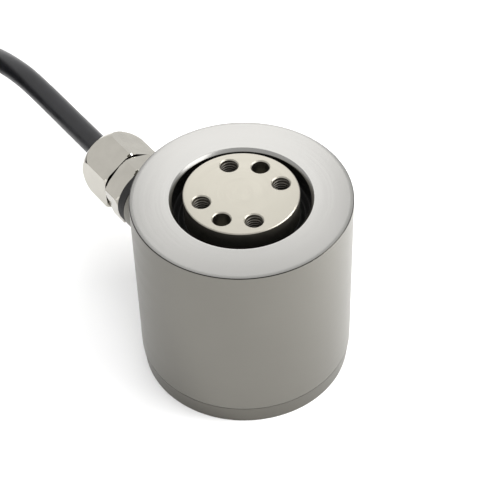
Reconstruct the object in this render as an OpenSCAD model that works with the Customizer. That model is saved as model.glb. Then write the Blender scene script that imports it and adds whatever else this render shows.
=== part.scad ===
// Multi-axis force sensor: a round stainless sleeve on a base flange, with a separate load disc
// standing in the ring-shaped gap at the top. The disc, hub, four beams and outer ring are one
// machined sensing element. A metal cable gland leaves the side, and a black lead leaves the gland.
// +Z points up through the load disc, +Y runs through a dowel hole, and the origin is the middle
// of the mounting face.

/* [Body] */
// Outer diameter of the sleeve and the base flange
body_d = 50; // [48:0.5:56]
// Height from the mounting face to the load face
total_h = 50; // [48:0.5:58]
// Height of the base flange's outer band
band_h = 4.8; // [3.5:0.1:5.2]
// How much smaller in radius the band is at the mounting face
band_taper = 0.5; // [0.1:0.05:0.8]
// Thickness of the sleeve's side wall
sleeve_wall = 3; // [2.4:0.1:3.2]
// Thickness of the sleeve's top ring
ring_t = 9; // [6:0.5:9.5]
// Chamfer on the sleeve's outer top edge
edge_chamfer = 0.25; // [0.1:0.05:0.6]
// Chamfer on the mouth of the opening in the top ring
mouth_chamfer = 0.6; // [0.2:0.1:1]

/* [Load disc] */
// Diameter of the load disc
disc_d = 26; // [24:0.5:27]
// Thickness of the load disc
disc_t = 10; // [9:0.5:11]
// Width of the ring-shaped gap round the disc
gap_w = 2.5; // [1.5:0.1:3]
// How far the load face stands above the sleeve's ring
load_proud = 1.3; // [0.5:0.1:2]
// Diameter of the circle that the load holes lie on
load_pcd = 18.5; // [17:0.25:19.5]
// Nominal diameter of the load threads
load_thread_d = 4; // [3:0.5:4.5]
// Depth of the load threads
load_thread_depth = 8; // [5:0.5:8.5]
// Diameter of the load dowel holes
load_pin_d = 4; // [3:0.5:4.5]
// Depth of the load dowel holes
load_pin_depth = 6; // [3:0.5:8]
// Chamfer on the mouth of each hole
hole_chamfer = 0.25; // [0.1:0.05:0.4]

/* [Sensing element] */
// Thickness of the element's outer ring
element_ring_t = 5.5; // [5:0.1:6]
// Height between the element's outer ring and the sleeve's top ring
element_head_room = 5.7; // [4.7:0.1:7.2]
// Diameter of the hub under the disc
hub_d = 16; // [14:0.5:17]
// Diameter of the hub's tail, which meets the overload stop
tail_d = 9; // [7:0.5:10]
// Width of each beam
beam_w = 5; // [4:0.1:6]
// Height of each beam
beam_h = 6; // [5:0.1:7]
// Distance from the top of the beams to the top of the outer ring
beam_drop = 2; // [1.5:0.1:3]
// Thickness of the thin wall that carries the outer end of each beam
web_t = 1; // [0.8:0.1:1.4]
// Width of the slot behind each thin wall
slot_w = 1.5; // [1:0.1:2]
// Half of the angle that each slot spans
slot_half_angle = 20; // [16:1:22]

/* [Base] */
// Thickness of the base flange
base_t = 7.5; // [6.5:0.1:8]
// Distance of the mounting holes' circle in from the body's outer radius
base_hole_inset = 7; // [6.5:0.1:7.5]
// Nominal diameter of the mounting threads
base_thread_d = 4; // [3:0.5:4]
// Depth of the mounting threads
base_thread_depth = 6; // [4:0.5:6]
// Diameter of the mounting dowel holes
base_pin_d = 3; // [2.5:0.5:4]
// Depth of the mounting dowel holes
base_pin_depth = 5; // [3:0.5:6]
// Wall between the cover's recess and the pockets of the element's screws
cover_wall = 1.25; // [1:0.05:1.5]
// Width of the ledge that the cover seats on
cover_ledge = 3.5; // [3.2:0.1:3.8]
// Thickness of the bottom cover
cover_t = 2.5; // [2:0.1:3]
// Running gap between the hub's tail and the overload stop
stop_gap = 0.2; // [0.1:0.05:0.5]

/* [Cable gland] */
// Direction of the gland round the body, from +X
gland_azimuth = 154; // [150:1:158]
// Height of the gland's axis above the mounting face
gland_z = 18; // [16:0.5:18.5]
// Length of the boss outside the body's radius
boss_l = 13.9; // [10:0.1:16]
// Diameter of the boss and the gland's sealing washer
boss_d = 17; // [16:0.5:18]
// Thickness of the sealing washer
washer_t = 2.4; // [1.5:0.1:3]
// Width across flats of the gland's hexagons
gland_af = 16; // [15:0.5:18]
// Length of the gland body's hexagon
gland_hex_l = 5.6; // [4:0.1:7]
// Diameter of the gland's thread
gland_thread_d = 12; // [11:0.5:13]
// Length of the cap nut
cap_l = 12.6; // [10:0.1:13]
// Length of the cap nut's hexagon
cap_hex_l = 6.5; // [4:0.1:7]
// Diameter of the flat end of the cap nut
cap_end_d = 10; // [8.5:0.1:11]

/* [Cable] */
// Outer diameter of the cable's jacket
cable_d = 6.2; // [5:0.1:6.4]
// Diameter of one insulated core
core_d = 1.1; // [0.8:0.05:1.2]

/* [Hidden] */
$fn = 96;
eps = 0.01;

// Colours
steel = "#B9B6AE";
ground_steel = "#C9C9C6";
nickel = "#C4C0B4";
rubber_black = "#1B1B1B";
jacket_black = "#222224";

// Fits
seat_clearance = 0.03;
jacket_clearance = 0.05;

// Sleeve and base
body_r = body_d / 2;
sleeve_ir = body_r - sleeve_wall;
ring_top = total_h - load_proud;
ring_under = ring_top - ring_t;
opening_r = disc_d / 2 + gap_w;
spigot_r = sleeve_ir - seat_clearance;
o_ring_section = 1.2;
o_ring_inset = 0.15;
o_ring_z = (band_h + base_t) / 2;

// Sensing element
element_clearance = 0.5;
element_or = sleeve_ir - element_clearance;
element_ir = element_or - element_ring_t;
element_ring_h = ring_under - element_head_room - base_t;
element_top = base_t + element_ring_h;
beam_top = element_top - beam_drop;
beam_z = beam_top - beam_h;
web_r = element_ir + web_t;
hub_r = hub_d / 2;
hub_z = beam_z - 3;
disc_under = total_h - disc_t;
slot_floor = beam_z - 1.5;

// Screws of the element, whose heads lie in pockets on the underside, and the base's holes
base_pcd = body_d - 2 * base_hole_inset;
element_screw_r = (element_ir + element_or) / 2;
element_screw_d = 3;
element_screw_end = 5;
element_screw_l = slot_floor - base_t - element_screw_end;
element_head_d = 5.5;
element_head_h = 3;
element_head_pocket = 3.4;
pocket_slack = 0.25;
hex_socket_af = 2.5;
hex_socket_depth = 1.6;
base_pin_angle = 22.5;
load_hole_angle = 45;

// Bottom cover, its gasket, screws and the overload stop
gasket_t = 0.3;
cover_inset = 0.2;
cover_clearance = 0.2;
cover_top = cover_inset + cover_t;
ledge_z = cover_top + gasket_t;
recess_r = element_screw_r - element_head_d / 2 - pocket_slack - cover_wall;
cover_d = 2 * (recess_r - cover_clearance);
access_d = 2 * (recess_r - cover_ledge);
cover_screw_d = 2;
cover_screw_head_d = 3.2;
cover_screw_head_h = 1;
cover_screw_l = 4.6;
cover_screw_r = (access_d / 2 + cover_d / 2) / 2;
cover_screw_angle = 45;
slot_drive_w = 0.5;
slot_drive_depth = 0.45;
stop_d = 8;
stop_spigot_d = 5;
tail_z = base_t - 1.3;
stop_top = tail_z - stop_gap;

// Gauges: thin foil patches on the beams
gauge_l = 3.6;
gauge_w = 2.6;
gauge_t = 0.15;
gauge_r = (hub_r + element_ir) / 2;
pad_l = 2.6;
pad_w = 1.8;
pad_t = 0.4;
pad_r = element_or - 2;
pad_spread = 9;
wire_spread = 2;
pad_angles = [for (q = [0 : 3], side = [-1, 1]) q * 90 + 45 + side * pad_spread];
lead_d = 0.35;
harness_d = 0.6;

// Junction board
board_t = 1.2;
board_z = base_t + 4.5;
board_top = board_z + board_t;
board_or = element_ir - 1.5;
board_ir = tail_d / 2 + 1.7;
standoff_r = (access_d / 2 + board_or) / 2 + 0.15;
standoff_af = 3;
standoff_angles = [10, 100, 270];
standoff_tap_l = 3;
board_screw_d = 1.6;
board_screw_l = 3.8;
board_head_d = 2.6;
board_head_h = 1;
resistor_size = [1.6, 0.8, 0.5];
resistor_r = board_ir + 1.4;
resistor_angles = [40, 58, 122, 200, 218, 236, 304, 322];

// Gland, along the distance s from the body's axis
boss_s = body_r + boss_l;
washer_s = boss_s + washer_t;
gland_hex_s = washer_s + gland_hex_l;
cap_gap = 0.5;
cap_s = gland_hex_s + cap_gap;
gland_thread_l = 9;
gland_neck_d = gland_thread_d + 1.6;
gland_neck_l = 5.5;
gland_bore_d = cable_d + 1.4;
socket_d = gland_bore_d + 2.4;
claw_count = 8;
claw_s = gland_hex_s - 2.2;
claw_l = 6.3;
seal_l = 5.6;
entry_d = cable_d + 1.2;
jacket_end_s = element_ir - 0.6;
run_start_s = gland_hex_s + 2.4;
wall_hole_d = entry_d + 0.4;

// Core wires: two rows of four, which leave the jacket's end and turn down to the board
core_rise = 0.72;
core_rows = [[core_rise, 3.4], [-core_rise, 1.7]];
core_y = [-1.95, -0.65, 0.65, 1.95];
core_bend_r = 1.4;
harness_clearance = 0.1;
harness_foot_r = jacket_end_s - core_rows[0][1] - core_d / 2 - harness_d / 2 - harness_clearance;

// Cable route in the gland's own frame: distance from the body's axis, sideways, height
cable_r = cable_d / 2;
RUN = [[60, 0, 18], [70, 0, 18], [80, 0, 18], [90, 0, 18], [100, 0, 17.5], [110, 0, 15.4],
    [120, 0, 12], [130, 0, 8.3], [140, 0, 5.2], [150, 0, 3.3], [155, 0, 3.1]];
COIL_CENTRE = [155, 44];
COIL_OUTER_TURN_R = 44;
COIL_TURNS_PER_LAYER = 3;
COIL_LAYERS = 4;
TAIL = [[155, 88, 21.7], [148, 87.2, 21.9], [140, 85.1, 22.9], [133, 81.8, 24], [127, 77.6, 25.2],
    [121, 71.5, 26.6], [117.3, 66, 27.6], [114.3, 58.5, 28.3], [113.4, 51.5, 28.5],
    [114.4, 44, 28.5], [117, 37, 28.5], [121, 31.5, 28.5], [125, 27.5, 28.5]];
tail_end = TAIL[len(TAIL) - 1];
tail_step = tail_end - TAIL[len(TAIL) - 2];
tail_heading = atan2(tail_step[1], tail_step[0]);
coil_or = COIL_OUTER_TURN_R + cable_r;
coil_ir = COIL_OUTER_TURN_R - COIL_TURNS_PER_LAYER * cable_d - cable_r;
coil_h = COIL_LAYERS * cable_d;
core_rest_z = coil_h + core_d / 2 + seat_clearance - tail_end[2];
tie_angle = 20;
tie_w = 9;
tie_t = 0.8;
end_sleeve_l = 14;
end_sleeve_d = cable_d + 1;
end_core_l = 20;
end_core_count = 8;
end_fan = 1.6;
end_lead_in = 2;
end_spread_l = 12;
tip_l = 5;
tip_d = 0.7;

// Holds what points along the gland: local +Z runs outward along the gland's axis from the body's axis
module along_gland(s = 0) {
    rotate([0, 0, gland_azimuth]) translate([s, 0, gland_z]) rotate([0, 90, 0]) children();
}

function unit(v) = v / norm(v);
function tangent(path, i) = unit(path[min(i + 1, len(path) - 1)] - path[max(i - 1, 0)]);
// A ring of points round one point of a path; ref is a direction that the path never runs along
function tube_ring(path, i, r, sides, ref) =
    let (t = tangent(path, i), side = unit(cross(ref, t)), up = cross(t, side))
    [for (k = [0 : sides - 1])
        path[i] + r * (cos(k * 360 / sides) * side + sin(k * 360 / sides) * up)];

// A closed tube that follows a path
module tube(path, r, sides = 10, ref = [0, 0, 1]) {
    n = len(path);
    points = [for (i = [0 : n - 1]) each tube_ring(path, i, r, sides, ref)];
    walls = [for (i = [0 : n - 2], k = [0 : sides - 1]) let (m = (k + 1) % sides) each [
        [i * sides + k, (i + 1) * sides + m, i * sides + m],
        [i * sides + k, (i + 1) * sides + k, (i + 1) * sides + m]
    ]];
    first = [for (k = [0 : sides - 1]) k];
    last = [for (k = [sides - 1 : -1 : 0]) (n - 1) * sides + k];
    polyhedron(points, concat([first, last], walls));
}

// A blind hole that opens upward at z 0, with a drill point and a chamfered mouth
module blind_hole(d, depth, chamfer = hole_chamfer) {
    translate([0, 0, -depth]) cylinder(h = depth + eps, d = d);
    translate([0, 0, -depth - d * 0.3]) cylinder(h = d * 0.3 + eps, d1 = eps, d2 = d);
    translate([0, 0, -chamfer]) cylinder(h = chamfer + eps, d1 = d, d2 = d + 2 * (chamfer + eps));
}

module at_angle(a, r, z = 0) {
    rotate([0, 0, a]) translate([r, 0, z]) children();
}

// Body

module housing_sleeve() {
    color(ground_steel) difference() {
        rotate_extrude() polygon([
            [sleeve_ir, band_h], [body_r, band_h], [body_r, ring_top - edge_chamfer],
            [body_r - edge_chamfer, ring_top], [opening_r + mouth_chamfer, ring_top],
            [opening_r, ring_top - mouth_chamfer], [opening_r, ring_under], [sleeve_ir, ring_under]
        ]);
        along_gland(sleeve_ir - 2) cylinder(h = sleeve_wall + 4, d = wall_hole_d);
    }
}

module base_flange() {
    color(steel) difference() {
        rotate_extrude() polygon([
            [access_d / 2, ledge_z], [recess_r, ledge_z], [recess_r, 0], [body_r - band_taper, 0],
            [body_r, band_h], [spigot_r, band_h],
            [spigot_r, o_ring_z - o_ring_section / 2 + 0.1],
            [spigot_r - o_ring_section + o_ring_inset, o_ring_z - o_ring_section / 2 + 0.1],
            [spigot_r - o_ring_section + o_ring_inset, o_ring_z + o_ring_section / 2 - 0.1],
            [spigot_r, o_ring_z + o_ring_section / 2 - 0.1],
            [spigot_r, base_t], [access_d / 2, base_t]
        ]);
        for (a = [0 : 90 : 270]) {
            at_angle(a, element_screw_r, -eps) {
                cylinder(h = element_head_pocket + eps, d = element_head_d + 2 * pocket_slack);
                cylinder(h = base_t + 2 * eps, d = element_screw_d + 0.4);
            }
            at_angle(a + 45, base_pcd / 2) mirror([0, 0, 1]) blind_hole(base_thread_d, base_thread_depth);
            at_angle(a + cover_screw_angle, cover_screw_r, ledge_z - eps)
                cylinder(h = base_t, d = cover_screw_d + 2 * seat_clearance);
        }
        for (a = [base_pin_angle, base_pin_angle + 180])
            at_angle(a, base_pcd / 2) mirror([0, 0, 1]) blind_hole(base_pin_d, base_pin_depth);
    }
}

module sleeve_o_ring() {
    groove_floor_r = spigot_r - o_ring_section + o_ring_inset;
    color(rubber_black) rotate_extrude()
        translate([(groove_floor_r + sleeve_ir) / 2, o_ring_z]) circle(d = o_ring_section - 0.22, $fn = 32);
}

// Sensing element: disc, hub, tail, four beams and the outer ring in one piece

module sensing_element() {
    color(steel) difference() {
        union() {
            rotate_extrude() polygon([
                [0, tail_z], [tail_d / 2 - 0.5, tail_z], [tail_d / 2, tail_z + 0.5],
                [tail_d / 2, hub_z], [hub_r, hub_z + 1.5], [hub_r, disc_under],
                [disc_d / 2, disc_under], [disc_d / 2, total_h - 0.2],
                [disc_d / 2 - 0.2, total_h], [0, total_h]
            ]);
            rotate_extrude() polygon([
                [element_ir, base_t], [element_or, base_t], [element_or, element_top],
                [element_ir, element_top]
            ]);
            for (a = [0 : 90 : 270]) at_angle(a, hub_r - 0.5, beam_z)
                translate([0, -beam_w / 2, 0]) cube([element_ir - hub_r + 1, beam_w, beam_h]);
        }
        for (a = [0 : 90 : 270]) {
            at_angle(a, element_screw_r, base_t - eps)
                cylinder(h = element_screw_l, d = element_screw_d + 2 * seat_clearance);
            rotate([0, 0, a - slot_half_angle])
                rotate_extrude(angle = 2 * slot_half_angle)
                    translate([web_r, slot_floor]) square([slot_w, element_top - slot_floor + 1]);
            at_angle(a + load_hole_angle, load_pcd / 2, total_h)
                blind_hole(load_thread_d, load_thread_depth);
        }
        for (a = [90, 270]) at_angle(a, load_pcd / 2, total_h) blind_hole(load_pin_d, load_pin_depth);
        along_gland(element_ir - 2) cylinder(h = element_ring_t + 4, d = wall_hole_d);
    }
}

// A soft ring across the gap, folded into one convolution
module gap_seal() {
    lip = 1.6;
    wall = 0.5;
    z = disc_under + 2;
    r0 = disc_d / 2;
    r1 = opening_r;
    rm = (r0 + r1) / 2;
    color(rubber_black) rotate_extrude() polygon([
        [r0, z], [r0, z + lip], [r0 + wall, z + lip], [rm, z + wall * 1.6], [r1 - wall, z + lip],
        [r1, z + lip], [r1, z], [r1 - wall, z], [rm, z - wall], [r0 + wall, z]
    ]);
}

module element_screws() {
    color("#8E8E90") for (a = [0 : 90 : 270])
        at_angle(a, element_screw_r, element_head_pocket - element_head_h) difference() {
            union() {
                cylinder(h = element_head_h, d = element_head_d);
                cylinder(h = element_head_h + element_screw_l - 1, d = element_screw_d);
            }
            translate([0, 0, -eps])
                cylinder(h = hex_socket_depth, d = hex_socket_af / cos(30), $fn = 6);
        }
}

module bottom_cover() {
    color(steel) difference() {
        translate([0, 0, cover_inset]) cylinder(h = cover_t, d = cover_d);
        for (a = [0 : 90 : 270]) at_angle(a + cover_screw_angle, cover_screw_r, cover_inset) {
            translate([0, 0, -eps]) cylinder(h = cover_t + 1, d = cover_screw_d + 2 * seat_clearance);
            translate([0, 0, -eps])
                cylinder(h = cover_screw_head_h + 0.1, d1 = cover_screw_head_d + 0.2, d2 = cover_screw_d);
        }
        translate([0, 0, -1]) cylinder(h = cover_t + 2, d = stop_spigot_d);
    }
}

module cover_gasket() {
    color(rubber_black) difference() {
        translate([0, 0, cover_top]) cylinder(h = gasket_t, d = cover_d);
        translate([0, 0, cover_top - 1]) cylinder(h = gasket_t + 2, d = access_d);
        for (a = [0 : 90 : 270]) at_angle(a + cover_screw_angle, cover_screw_r, cover_top - 1)
            cylinder(h = gasket_t + 2, d = cover_screw_d + 0.3);
    }
}

module cover_screws() {
    color("#8E8E90") for (a = [0 : 90 : 270])
        at_angle(a + cover_screw_angle, cover_screw_r, cover_inset + 0.05) difference() {
            union() {
                cylinder(h = cover_screw_head_h, d1 = cover_screw_head_d, d2 = cover_screw_d);
                cylinder(h = cover_screw_l, d = cover_screw_d);
            }
            translate([-cover_screw_head_d / 2, -slot_drive_w / 2, -eps])
                cube([cover_screw_head_d, slot_drive_w, slot_drive_depth]);
        }
}

module overload_stop() {
    color("#77777A") rotate_extrude() polygon([
        [0, cover_inset + 0.3], [stop_spigot_d / 2, cover_inset + 0.3],
        [stop_spigot_d / 2, cover_top], [stop_d / 2, cover_top],
        [stop_d / 2, stop_top - 0.4], [stop_d / 2 - 0.4, stop_top], [0, stop_top]
    ]);
}

// Strain gauges: foil patches bonded to the beams' top and bottom, and to their sides

module gauges_vertical() {
    color("#C98A3C") for (a = [0 : 90 : 270], z = [beam_top, beam_z - gauge_t])
        at_angle(a, gauge_r, z) translate([-gauge_l / 2, -gauge_w / 2, 0])
            cube([gauge_l, gauge_w, gauge_t]);
}

module gauges_on_sides(angles) {
    color("#C98A3C") for (a = angles, side = [0, 1])
        at_angle(a, gauge_r, beam_z + beam_h / 2) mirror([0, side, 0])
            translate([-gauge_l / 2, beam_w / 2, -gauge_w / 2]) cube([gauge_l, gauge_t, gauge_w]);
}

module gauges_lateral_x() {
    gauges_on_sides([90, 270]);
}

module gauges_lateral_y() {
    gauges_on_sides([0, 180]);
}

module terminal_pads() {
    color("#B07B3A") for (a = pad_angles) at_angle(a, pad_r, element_top)
        translate([-pad_w / 2, -pad_l / 2, 0]) cube([pad_w, pad_l, pad_t]);
}

// Fine wires from the gauges on top of each beam to the near edge of the pads on both sides of it
module gauge_leads() {
    pad_z = element_top + pad_t + lead_d / 2;
    end_angle = 45 - pad_spread - wire_spread;
    color("#A8482C") for (a = [0 : 90 : 270], side = [-1, 1]) rotate([0, 0, a])
        tube([
            [gauge_r + 0.8, side * 0.6, beam_top + gauge_t + lead_d / 2],
            [gauge_r + 1.4, side * (beam_w / 2 + 0.8), element_top - 0.6],
            [pad_r * cos(end_angle - 4), side * pad_r * sin(end_angle - 4), pad_z + 0.9],
            [pad_r * cos(end_angle), side * pad_r * sin(end_angle), pad_z]
        ], lead_d / 2, 6);
}

// Wires from the far edge of the pads, over the ring's inner edge and down to the junction board
module harness_wires() {
    pad_z = element_top + pad_t + harness_d / 2;
    color("#2F5F9E") for (q = [0 : 3], side = [-1, 1])
        rotate([0, 0, q * 90 + 45 + side * (pad_spread - wire_spread)])
            tube([
                [pad_r, 0, pad_z], [element_ir - 0.2, 0, pad_z + 0.9],
                [element_ir - 1.1, 0, pad_z - 0.6], [harness_foot_r, 0, gland_z + 2.5],
                [harness_foot_r, 0, board_top]
            ], harness_d / 2, 6, [0, 1, 0]);
}

module junction_board() {
    color("#2E6B45") difference() {
        translate([0, 0, board_z]) cylinder(h = board_t, r = board_or);
        translate([0, 0, board_z - 1]) cylinder(h = board_t + 2, r = board_ir);
        for (a = standoff_angles) at_angle(a, standoff_r, board_z - 1)
            cylinder(h = board_t + 2, d = board_screw_d + 0.2);
    }
}

module board_standoffs() {
    color("#C9A84A") for (a = standoff_angles) at_angle(a, standoff_r, base_t) difference() {
        cylinder(h = board_z - base_t, d = standoff_af / cos(30), $fn = 6);
        translate([0, 0, board_z - base_t - standoff_tap_l])
            cylinder(h = standoff_tap_l + eps, d = board_screw_d + 2 * seat_clearance);
    }
}

module board_screws() {
    color("#8E8E90") for (a = standoff_angles) at_angle(a, standoff_r, board_top) {
        difference() {
            cylinder(h = board_head_h, d = board_head_d);
            translate([-board_head_d, -0.2, board_head_h - 0.4]) cube([2 * board_head_d, 0.4, 1]);
        }
        translate([0, 0, -board_screw_l]) cylinder(h = board_screw_l + eps, d = board_screw_d);
    }
}

module board_resistors() {
    color("#26262A") for (a = resistor_angles) at_angle(a, resistor_r, board_top)
        translate([-resistor_size[1] / 2, -resistor_size[0] / 2, 0])
            cube([resistor_size[1], resistor_size[0], resistor_size[2]]);
}

// Cable cores from the jacket's end, bent down onto the board
module core_wires() {
    color("#B8B2A4") rotate([0, 0, gland_azimuth])
        for (row = core_rows, y = core_y) {
            z = gland_z + row[0];
            bend_s = jacket_end_s - row[1] + core_bend_r;
            translate([bend_s, y, z]) rotate([0, 90, 0])
                cylinder(h = jacket_end_s - bend_s, d = core_d, $fn = 24);
            translate([bend_s, y, z - core_bend_r]) rotate([90, 0, 0])
                rotate([0, 0, 90]) rotate_extrude(angle = 90, $fn = 48)
                    translate([core_bend_r, 0]) circle(d = core_d, $fn = 24);
            translate([bend_s - core_bend_r, y, board_top])
                cylinder(h = z - core_bend_r - board_top, d = core_d, $fn = 24);
        }
}

// Gland

module cable_boss() {
    color(steel) difference() {
        along_gland(sleeve_ir) cylinder(h = boss_s - sleeve_ir, d = boss_d);
        cylinder(h = total_h, r = body_r);
        along_gland(sleeve_ir) {
            cylinder(h = boss_s, d = wall_hole_d);
            translate([0, 0, boss_s - sleeve_ir - gland_thread_l - 0.6])
                cylinder(h = gland_thread_l + 2, d = gland_thread_d + 2 * seat_clearance);
        }
    }
}

module gland_washer() {
    color(rubber_black) along_gland(boss_s) difference() {
        cylinder(h = washer_t, d = boss_d);
        translate([0, 0, -1]) cylinder(h = washer_t + 2, d = gland_thread_d + 2 * seat_clearance);
    }
}

// A hexagon whose corners are turned off at one or both ends
module turned_hex(af, l, chamfer) {
    corner_d = af / cos(30);
    intersection() {
        cylinder(h = l, d = corner_d, $fn = 6);
        rotate_extrude() polygon([
            [0, 0], [corner_d / 2 - chamfer, 0], [corner_d / 2 + eps, chamfer * 0.6],
            [corner_d / 2 + eps, l - chamfer * 0.6], [corner_d / 2 - chamfer, l], [0, l]
        ]);
    }
}

module gland_body() {
    color(nickel) along_gland(0) difference() {
        union() {
            translate([0, 0, washer_s]) rotate([0, 0, 12]) turned_hex(gland_af, gland_hex_l, 0.9);
            translate([0, 0, boss_s - gland_thread_l])
                cylinder(h = gland_thread_l + washer_t + eps, d = gland_thread_d);
            translate([0, 0, gland_hex_s - eps]) cylinder(h = gland_neck_l, d = gland_neck_d);
        }
        translate([0, 0, boss_s - gland_thread_l - eps])
            cylinder(h = gland_hex_s + gland_neck_l - boss_s + gland_thread_l + 2 * eps, d = gland_bore_d);
        translate([0, 0, claw_s]) cylinder(h = gland_hex_s + gland_neck_l - claw_s + eps, d = socket_d);
    }
}

// Slotted plastic ring that the cap nut squeezes onto the seal
module gland_claw() {
    color("#3B3D40") along_gland(claw_s) difference() {
        cylinder(h = claw_l + 1.5, d = socket_d - 2 * seat_clearance);
        translate([0, 0, -1]) cylinder(h = claw_l + 4, d = cable_d + 1.2);
        for (i = [0 : claw_count - 1]) rotate([0, 0, i * 360 / claw_count])
            translate([0, -0.25, 2]) cube([socket_d, 0.5, claw_l + 2]);
    }
}

module gland_seal() {
    color("#5A5C5E") along_gland(claw_s + 1) difference() {
        cylinder(h = seal_l, d = cable_d + 1.2 - 2 * seat_clearance);
        translate([0, 0, -1]) cylinder(h = seal_l + 2, d = cable_d + 2 * jacket_clearance);
    }
}

module gland_cap_nut() {
    corner_r = gland_af / 2 / cos(30);
    dome_l = cap_l - cap_hex_l;
    color(nickel) along_gland(cap_s) difference() {
        intersection() {
            union() {
                cylinder(h = cap_hex_l + 0.8, r = corner_r, $fn = 6);
                translate([0, 0, cap_hex_l * 0.6]) cylinder(h = cap_l - cap_hex_l * 0.6, d = gland_af);
            }
            rotate_extrude() polygon(concat(
                [[0, 0], [corner_r - 0.9, 0], [corner_r + eps, 0.5], [corner_r + eps, cap_hex_l - 0.4],
                    [gland_af / 2 + 0.2, cap_hex_l + 0.5]],
                [for (t = [10 : 10 : 90]) [
                    cap_end_d / 2 + (gland_af / 2 - cap_end_d / 2) * cos(t),
                    cap_hex_l + 0.5 + (dome_l - 0.5) * sin(t)
                ]],
                [[0, cap_l]]
            ));
        }
        translate([0, 0, -1]) cylinder(h = cap_l + 2, d = entry_d);
        translate([0, 0, -1])
            cylinder(h = gland_neck_l - cap_gap + 1.6, d = gland_neck_d + 2 * seat_clearance);
    }
}

// Cable

// The jacket from inside the housing to the clamped end in the gland
module cable_inner() {
    color(jacket_black) along_gland(jacket_end_s)
        cylinder(h = run_start_s - jacket_end_s, d = cable_d, $fn = 48);
}

// A point of a route, turned from the gland's frame to the part's
function turned(p) = [
    p[0] * cos(gland_azimuth) - p[1] * sin(gland_azimuth),
    p[0] * sin(gland_azimuth) + p[1] * cos(gland_azimuth), p[2]
];

// What stands at the coil's middle, turned with the gland
module at_coil() {
    translate(turned([COIL_CENTRE[0], COIL_CENTRE[1], 0])) rotate([0, 0, gland_azimuth]) children();
}

module coil_solid() {
    at_coil() rotate_extrude() translate([coil_ir, 0]) square([coil_or - coil_ir, coil_h]);
}

module cable_run() {
    path = [for (p = concat([[run_start_s, 0, gland_z]], RUN)) turned(p)];
    color(jacket_black) difference() {
        tube(path, cable_r);
        coil_solid();
    }
}

module cable_coil() {
    color(jacket_black) difference() {
        coil_solid();
        at_coil() rotate([0, 0, tie_angle])
            translate([0, -tie_w / 2, -1]) cube([coil_or + 1, tie_w, tie_t + 1]);
    }
}

// A strap round the coil's section; its lower run lies in a shallow dent under the coil
module coil_tie() {
    outer = coil_or - coil_ir + 2 * tie_t;
    color("#3A3A3C") at_coil() rotate([0, 0, tie_angle]) difference() {
        translate([coil_ir - tie_t, -tie_w / 2, 0]) cube([outer, tie_w, coil_h + tie_t]);
        intersection() {
            translate([0, -tie_w, tie_t]) cube([coil_or + 1, 2 * tie_w, coil_h - tie_t]);
            rotate_extrude() translate([coil_ir, 0]) square([coil_or - coil_ir, coil_h]);
        }
    }
}

module cable_tail() {
    color(jacket_black) difference() {
        tube([for (p = TAIL) turned(p)], cable_r);
        coil_solid();
    }
}

// What lies on from the tail's last point, on top of the coil: local +X runs on along the lead
module past_tail(distance) {
    translate(turned(tail_end)) rotate([0, 0, gland_azimuth + tail_heading])
        translate([distance, 0, 0]) children();
}

module end_sleeve() {
    color(rubber_black) past_tail(seat_clearance) rotate([0, 90, 0])
        cylinder(h = end_sleeve_l - seat_clearance, d = end_sleeve_d);
}

// Loose cores that fan out and lie down beyond the sleeve; odd ones leave the sleeve's upper row
module end_cores() {
    color("#C23B2E") past_tail(end_sleeve_l) for (i = [0 : end_core_count - 1]) {
        y0 = core_y[floor(i / 2)];
        z0 = i % 2 == 0 ? -core_rise : core_rise;
        y1 = (i - (end_core_count - 1) / 2) * end_fan;
        tube([
            [0, y0, z0], [end_lead_in, y0, z0],
            [end_lead_in + end_spread_l / 2, y0 + 0.75 * (y1 - y0), z0 + 0.35 * (core_rest_z - z0)],
            [end_lead_in + end_spread_l, y1, core_rest_z], [end_core_l, y1, core_rest_z]
        ], core_d / 2, 8);
    }
}

module end_tips() {
    color("#C8C8C8") past_tail(end_sleeve_l + end_core_l) for (i = [0 : end_core_count - 1])
        translate([0, (i - (end_core_count - 1) / 2) * end_fan, core_rest_z])
            rotate([0, 90, 0]) cylinder(h = tip_l, d = tip_d, $fn = 24);
}

housing_sleeve();
base_flange();
sensing_element();
gap_seal();
sleeve_o_ring();
element_screws();
bottom_cover();
cover_gasket();
cover_screws();
overload_stop();
gauges_vertical();
gauges_lateral_x();
gauges_lateral_y();
terminal_pads();
gauge_leads();
harness_wires();
junction_board();
board_standoffs();
board_screws();
board_resistors();
core_wires();
cable_boss();
gland_washer();
gland_body();
gland_claw();
gland_seal();
gland_cap_nut();
cable_inner();
cable_run();
cable_coil();
cable_tail();
coil_tie();
end_sleeve();
end_cores();
end_tips();
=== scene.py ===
"""A multi-axis force sensor: satin steel sleeve and load disc, nickel cable gland, black lead.

Shapes are worked out in millimetres, in the frame of the CAD nodes: the origin is the middle of the
base face and z points up through the load disc. mesh_object turns them into metres."""

import math

import bpy
import numpy as np
from mathutils import Euler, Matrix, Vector


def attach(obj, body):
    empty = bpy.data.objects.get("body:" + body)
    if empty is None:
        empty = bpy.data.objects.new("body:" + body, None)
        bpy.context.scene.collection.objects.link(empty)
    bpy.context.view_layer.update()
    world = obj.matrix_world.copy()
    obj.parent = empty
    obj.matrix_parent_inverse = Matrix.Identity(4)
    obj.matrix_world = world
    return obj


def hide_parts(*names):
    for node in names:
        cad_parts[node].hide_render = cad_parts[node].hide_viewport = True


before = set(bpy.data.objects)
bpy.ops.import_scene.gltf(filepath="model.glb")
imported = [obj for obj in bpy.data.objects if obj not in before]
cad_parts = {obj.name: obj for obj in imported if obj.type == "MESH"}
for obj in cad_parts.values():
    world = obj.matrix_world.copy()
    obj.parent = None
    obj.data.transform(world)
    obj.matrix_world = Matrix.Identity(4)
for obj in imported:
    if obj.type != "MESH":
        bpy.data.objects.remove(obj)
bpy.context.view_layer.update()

MM = 0.001
TURN = 2 * math.pi

# The gap between pieces that sit on or in each other, in millimetres
SEAT_GAP = 0.03

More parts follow.
